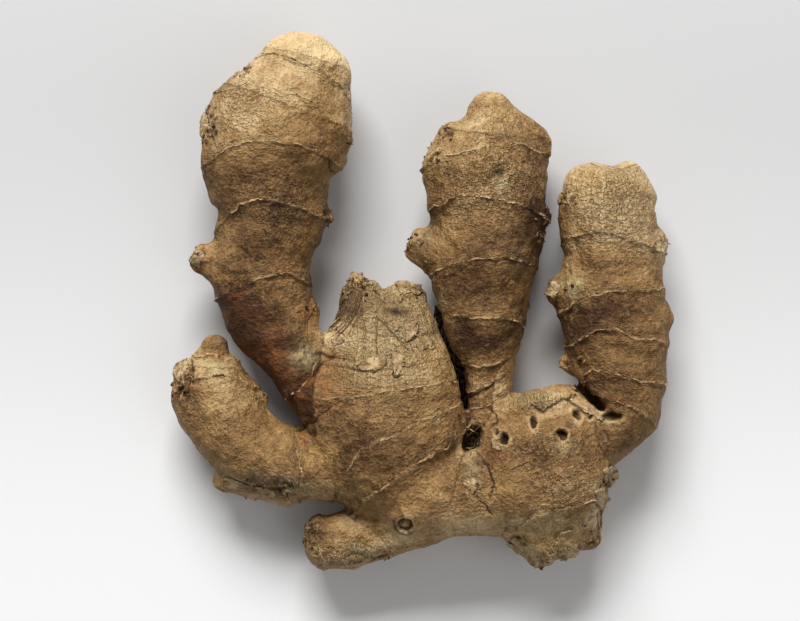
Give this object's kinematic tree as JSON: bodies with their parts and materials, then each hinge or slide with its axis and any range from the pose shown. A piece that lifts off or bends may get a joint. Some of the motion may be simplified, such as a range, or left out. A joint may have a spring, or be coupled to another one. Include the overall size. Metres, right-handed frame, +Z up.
{
  "type": "ginger root",
  "caption": "A fresh ginger rhizome: a broad old base with upright and side fingers, ringed by node scars, lying flat.",
  "frame": {"origin": "Middle of the box that holds the root, at the height of the surface it lies on.", "axes": "+Y is the way the three long fingers point and the longest extent, +Z is up and the shortest extent, +X is to the right with the fingers pointing away."},
  "size_m": [0.1258, 0.1346, 0.0313],
  "materials": {
    "skin": "dry, corky, dull tan skin"
  },
  "bodies": {
    "root": {"rhizome": "skin"}
  },
  "joints": []
}
